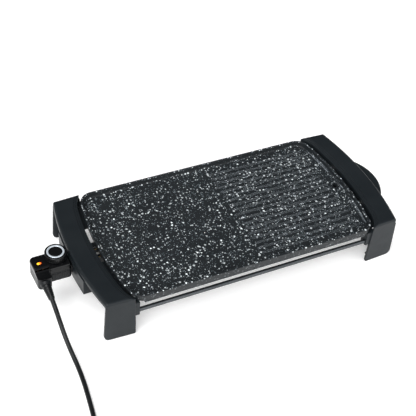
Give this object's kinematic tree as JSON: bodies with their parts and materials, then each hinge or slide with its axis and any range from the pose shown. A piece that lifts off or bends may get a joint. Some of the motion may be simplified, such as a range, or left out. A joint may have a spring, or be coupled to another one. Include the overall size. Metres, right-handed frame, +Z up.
{
  "type": "electric griddle",
  "caption": "Table-top electric griddle: speckled non-stick plate, part smooth and part ribbed, on a stand with end mouldings and rods, with plug-in thermostat and drip tray.",
  "frame": {"origin": "on the floor, under the middle of the griddle's box without the free cord", "axes": "+X along the long side of the plate, towards the drip tray's handle; +Y towards the back; +Z up"},
  "size_m": [0.8064, 0.5628, 0.0988],
  "materials": {
    "stand_plastic": "black moulded phenolic plastic with a fine grain",
    "rod_steel": "bright drawn steel rod",
    "zinc_steel": "zinc-plated steel",
    "foot_rubber": "soft black rubber",
    "stone_coating": "dark non-stick coating with dense pale stone-effect speckles on cast aluminium",
    "element_sheath": "dull oxidised steel sheath",
    "pin_steel": "nickel-plated pin",
    "ceramic": "unglazed off-white ceramic",
    "thermostat_plastic": "glossy black heat-resistant plastic",
    "thermostat_satin": "satin black heat-resistant plastic with moulded grip ribs",
    "nose_plastic": "matt black phenolic moulding",
    "contact_brass": "bare spring brass",
    "probe_steel": "satin stainless steel tube",
    "lamp_glass": "clear neon lamp glass",
    "amber_lens": "amber translucent lens, lit",
    "wire_sleeve": "brown silicone sleeve",
    "cord_rubber": "black smooth rubber sheath",
    "tie_plastic": "black plastic tie",
    "knob_plastic": "glossy black knob",
    "ring_chrome": "satin silver ring"
  },
  "bodies": {
    "stand": {"left_stand": "stand_plastic", "right_stand": "stand_plastic", "front_rod": "rod_steel", "rear_rod": "rod_steel", "rod_screws": "zinc_steel", "rubber_feet": "foot_rubber", "tray_rail_front": "zinc_steel", "tray_rail_rear": "zinc_steel", "rail_screws": "zinc_steel"},
    "plate": {"griddle_plate": "stone_coating", "heating_element": "element_sheath", "terminal_pins": "pin_steel", "pin_insulators": "ceramic", "terminal_bracket": "zinc_steel", "bracket_screws": "zinc_steel"},
    "thermostat": {"thermostat_lower_shell": "thermostat_satin", "thermostat_upper_shell": "thermostat_plastic", "connector_nose": "nose_plastic", "contact_forks": "contact_brass", "sensor_probe": "probe_steel", "switch_base": "nose_plastic", "bimetal_strip": "contact_brass", "contact_blades": "contact_brass", "neon_lamp": "lamp_glass", "indicator_lens": "amber_lens", "lead_wires": "wire_sleeve", "cord_clamp": "nose_plastic", "clamp_screws": "zinc_steel", "shell_screws": "zinc_steel", "spindle_bush": "contact_brass", "strain_relief": "cord_rubber", "power_cord": "cord_rubber", "cord_coil": "cord_rubber", "coil_tie": "tie_plastic", "plug_body": "cord_rubber", "plug_pins": "pin_steel", "plug_earth_contacts": "contact_brass"},
    "knob": {"knob_body": "knob_plastic", "knob_ring": "ring_chrome", "knob_cap": "knob_plastic", "knob_spindle": "rod_steel"},
    "drip_tray": {"drip_tray": "stand_plastic"}
  },
  "joints": [
    {"name": "plate_lift", "type": "slide", "parent": "stand", "child": "plate", "axis": [0, 0, 1], "range_m": [0, 0.12]},
    {"name": "thermostat_pull", "type": "slide", "parent": "stand", "child": "thermostat", "axis": [-1, 0, 0], "range_m": [0, 0.11]},
    {"name": "knob_turn", "type": "hinge", "parent": "thermostat", "child": "knob", "pos_m": [-0.30293, 0.0064, 0.0925], "axis": [0, 0, 1], "range_deg": [-270, 0]},
    {"name": "drip_tray_slide", "type": "slide", "parent": "stand", "child": "drip_tray", "axis": [1, 0, 0], "range_m": [0, 0.11]}
  ]
}
